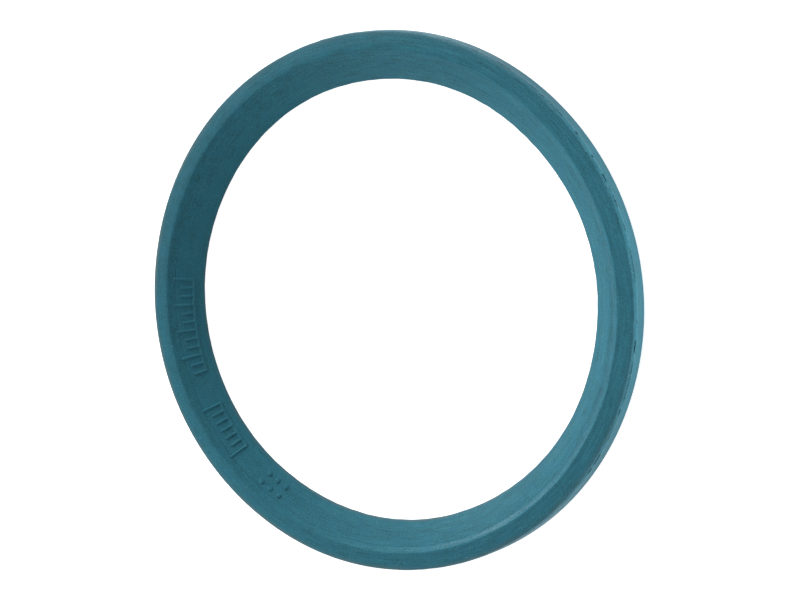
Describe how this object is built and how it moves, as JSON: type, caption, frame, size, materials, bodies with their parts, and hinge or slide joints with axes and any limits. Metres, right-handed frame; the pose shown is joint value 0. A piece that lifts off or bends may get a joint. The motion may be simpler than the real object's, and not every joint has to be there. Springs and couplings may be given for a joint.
{
  "type": "radiator connector seal",
  "caption": "Flat moulded rubber sealing ring for a coolant pipe connector, with an upright outer wall, a narrow front band and a wide cone down to a thin lip at the bore.",
  "frame": {"origin": "centre of the ring's flat back face, on its axis", "axes": "+Z along the ring's axis, from the flat back face towards the ridge and the open side of the cone; -Y towards the side that is nearest in the picture"},
  "size_m": [0.07, 0.07, 0.0034],
  "materials": {
    "fluoro_rubber": "matte teal moulded rubber"
  },
  "bodies": {
    "root": {"seal_ring": "fluoro_rubber"}
  },
  "joints": []
}
